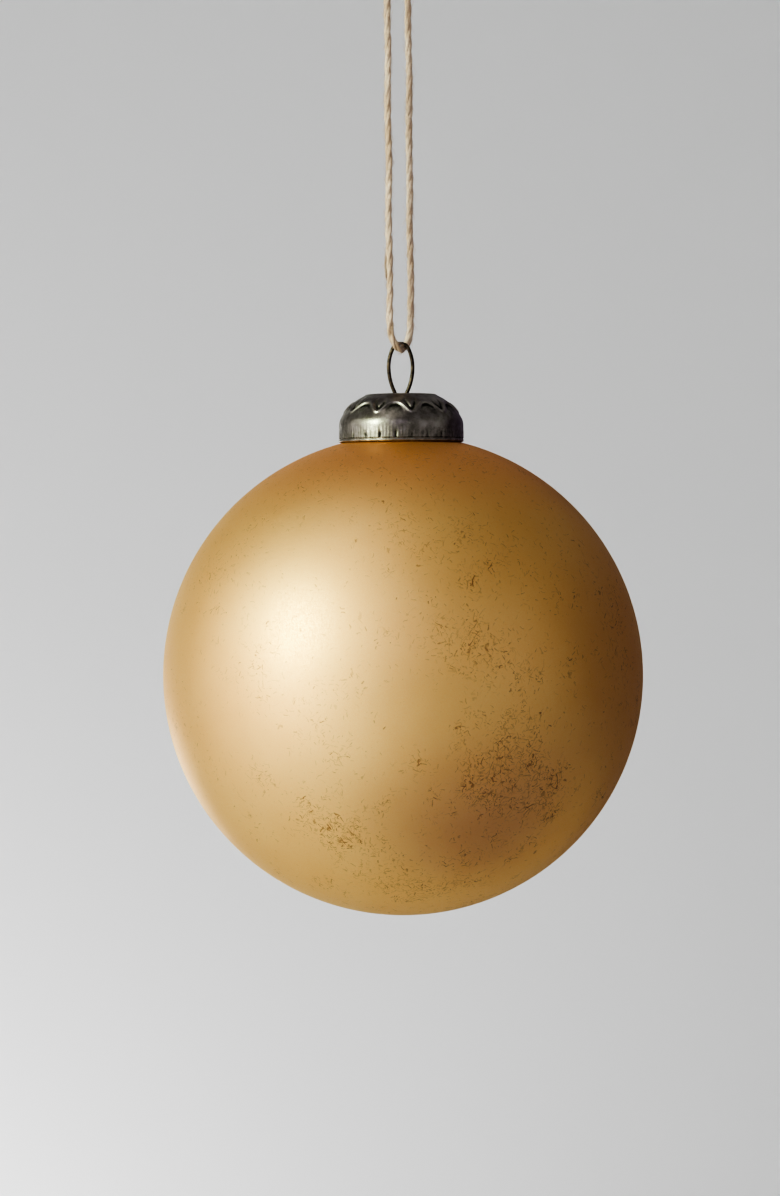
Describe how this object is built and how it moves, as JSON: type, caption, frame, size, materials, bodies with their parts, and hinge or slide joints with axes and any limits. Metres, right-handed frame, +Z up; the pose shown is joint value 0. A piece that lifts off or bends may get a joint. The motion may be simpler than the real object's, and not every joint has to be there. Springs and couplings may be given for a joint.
{
  "type": "glass ball ornament",
  "caption": "Hollow glass ball ornament with an antiqued metal cap, a sprung wire clip through the cap and a loop of twine to hang it by.",
  "frame": {"origin": "the hanging point, inside the top of the twine loop and under its knot, where a hook or branch carries it", "axes": "+Z up along the line that the ornament hangs on, -Y towards the front, +X to the front's right"},
  "size_m": [0.1, 0.1, 0.2085],
  "materials": {
    "gold_glass": "opaque satin gold coating with patches of dark antique crackle",
    "cap_metal": "antiqued pewter, dark in its recesses and worn bright on its edges",
    "clip_wire": "dark antiqued spring wire",
    "twine": "natural twisted jute"
  },
  "bodies": {
    "twine": {"twine_loop": "twine", "twine_knot": "twine"},
    "clip": {"wire_clip": "clip_wire"},
    "cap": {"cap": "cap_metal"},
    "ball": {"glass_ball": "gold_glass"}
  },
  "joints": [
    {"name": "eye_swing", "type": "hinge", "parent": "twine", "child": "clip", "pos_m": [0, 0, -0.0762], "axis": [0.4613, 0.8872, 0], "range_deg": [-60, 60]},
    {"name": "clip_turn", "type": "hinge", "parent": "clip", "child": "cap", "pos_m": [0, 0, -0.0854], "axis": [0, 0, 1], "continuous": true},
    {"name": "ball_pull", "type": "slide", "parent": "cap", "child": "ball", "axis": [0, 0, -1], "range_m": [0, 0.025]}
  ]
}
